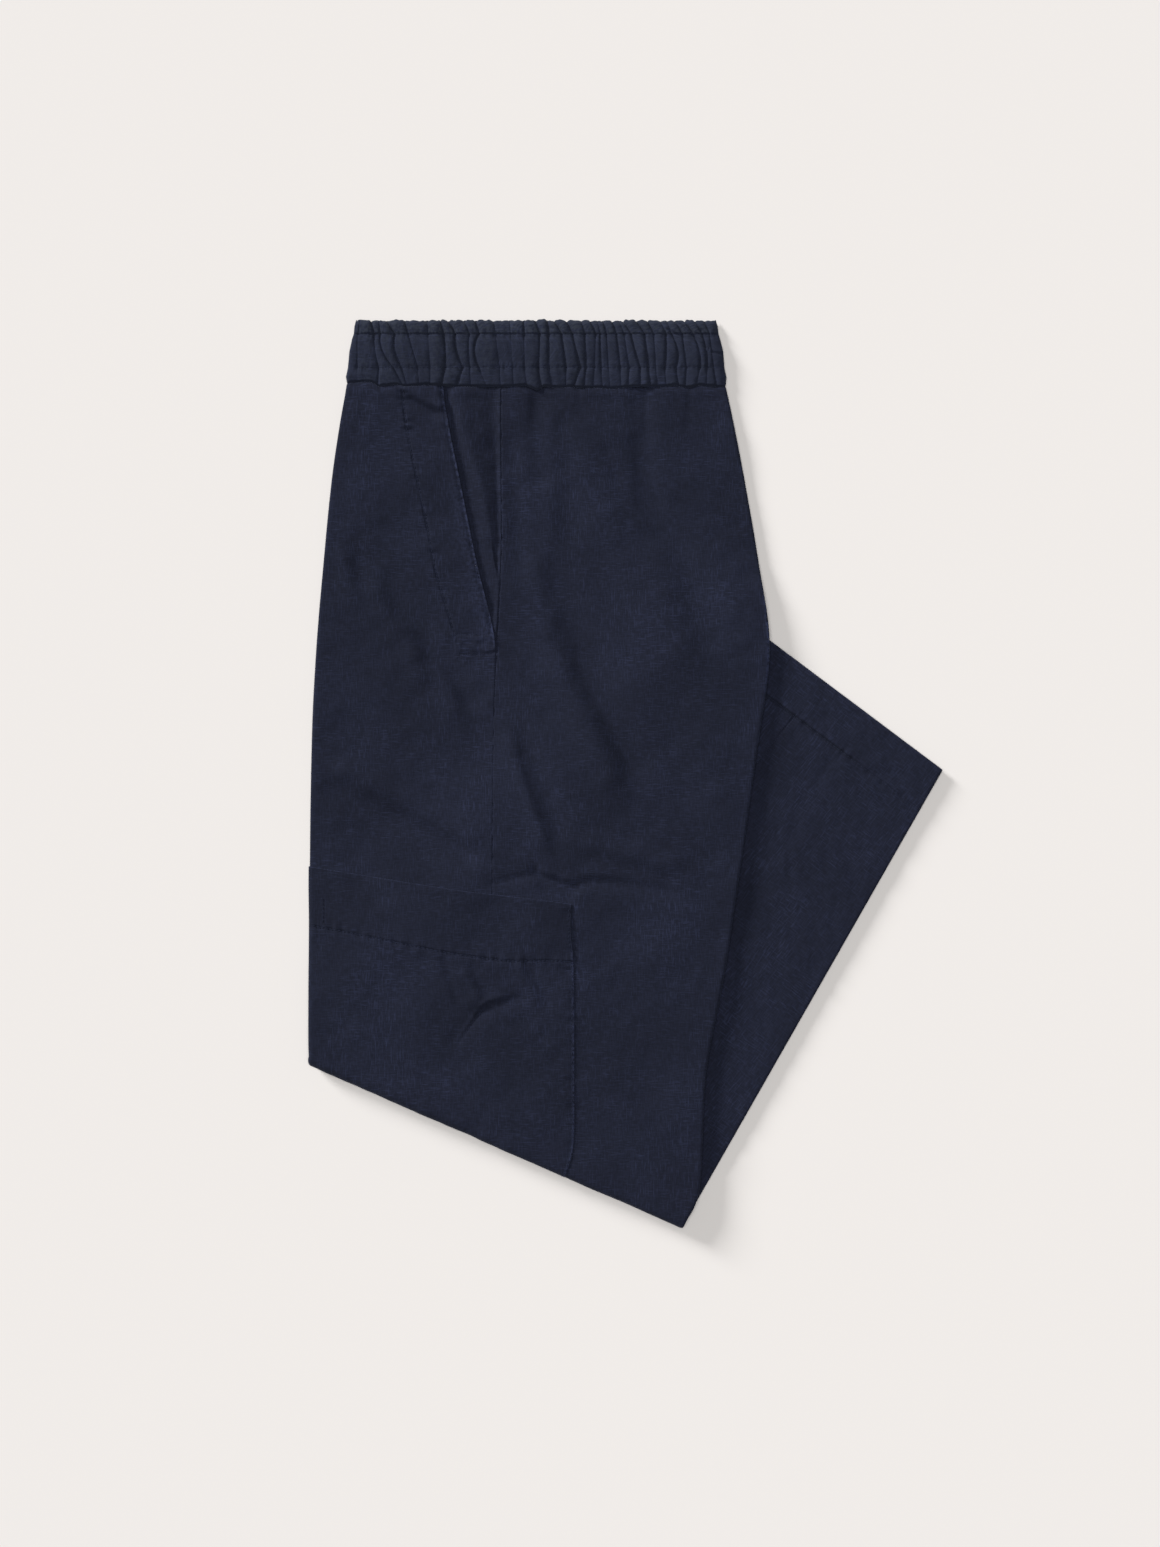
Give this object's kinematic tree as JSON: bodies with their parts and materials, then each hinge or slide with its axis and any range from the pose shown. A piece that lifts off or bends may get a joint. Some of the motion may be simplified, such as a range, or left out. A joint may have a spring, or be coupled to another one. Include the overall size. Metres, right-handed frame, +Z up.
{
  "type": "folded linen trousers",
  "caption": "Pull-on linen trousers folded flat, with a gathered elastic waistband, slanted side pocket, deep-hemmed patch pocket at the knee and lower legs turned beneath.",
  "frame": {"origin": "middle of the folded garment's bounding box, on the surface it lies on", "axes": "+Y towards the waistband, +X towards the seat and the hem of the lower leg, +Z up out of the surface"},
  "size_m": [0.4424, 0.6328, 0.0125],
  "materials": {
    "linen": "matte plain-weave linen with slubs, navy",
    "linen_waistband": "matte plain-weave linen gathered over elastic, navy",
    "thread": "matte spun sewing thread, navy"
  },
  "bodies": {
    "root": {"waistband_left": "linen_waistband", "waistband_right": "linen_waistband", "left_front_panel": "linen", "left_back_panel": "linen", "left_pocket_facing": "linen", "left_knee_pocket": "linen", "right_front_panel": "linen", "right_back_panel": "linen", "folded_layers": "linen"}
  },
  "joints": []
}
